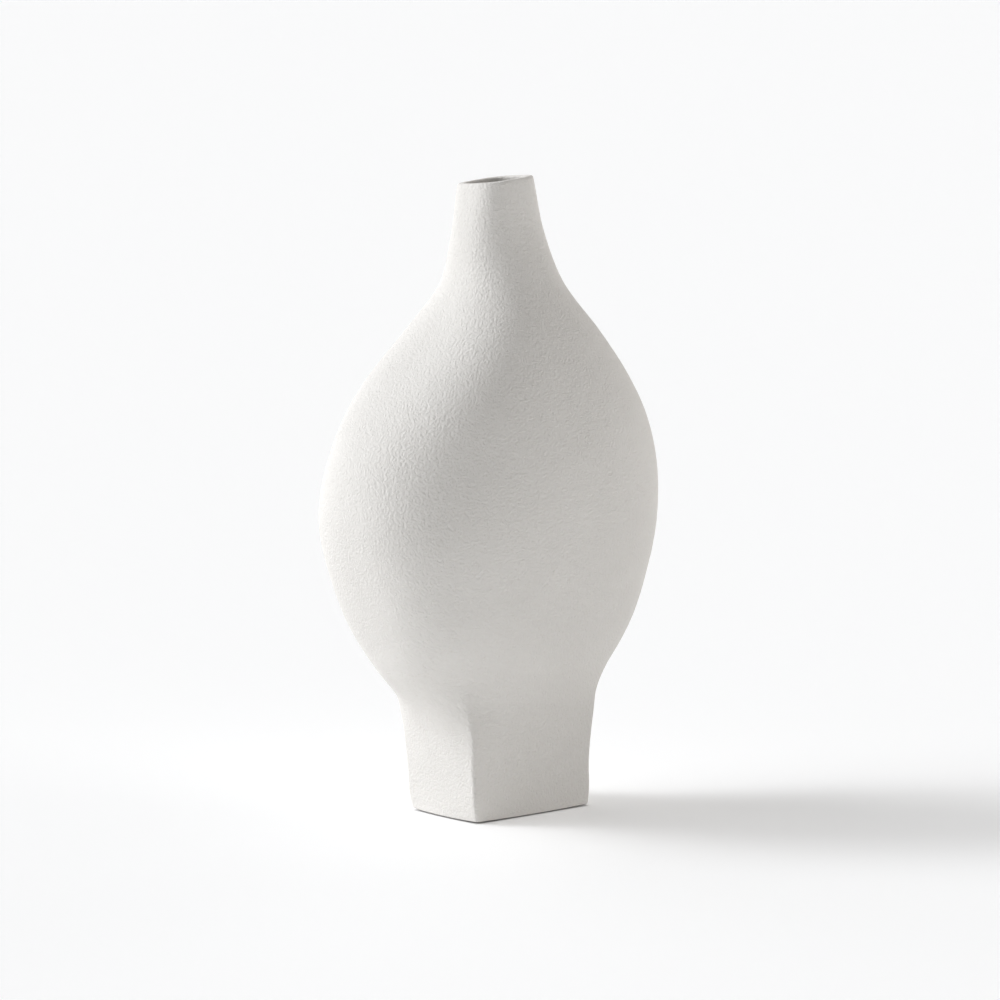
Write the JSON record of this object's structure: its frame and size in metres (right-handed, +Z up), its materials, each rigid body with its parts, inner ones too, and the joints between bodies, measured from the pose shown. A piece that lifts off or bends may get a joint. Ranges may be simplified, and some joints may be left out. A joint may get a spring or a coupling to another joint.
{
  "type": "bud vase",
  "caption": "Tall ceramic bud vase with a crisp rectangular foot, a flattened pillow-shaped belly and a narrow square neck with a slanted open mouth.",
  "frame": {"origin": "on the surface that the vase stands on, under the middle of the foot", "axes": "+Z up, +X along the vase's long side, +Y across its width; the mouth's high side is towards +X -Y"},
  "size_m": [0.1558, 0.1052, 0.2705],
  "materials": {
    "clay": "bare matte off-white clay with a fine orange-peel grain",
    "liner": "thin clear gloss glaze over off-white clay",
    "pad": "thin dense grey felt"
  },
  "bodies": {
    "root": {"vase_body": "clay", "liner_glaze": "liner", "base_pad": "pad"}
  },
  "joints": []
}
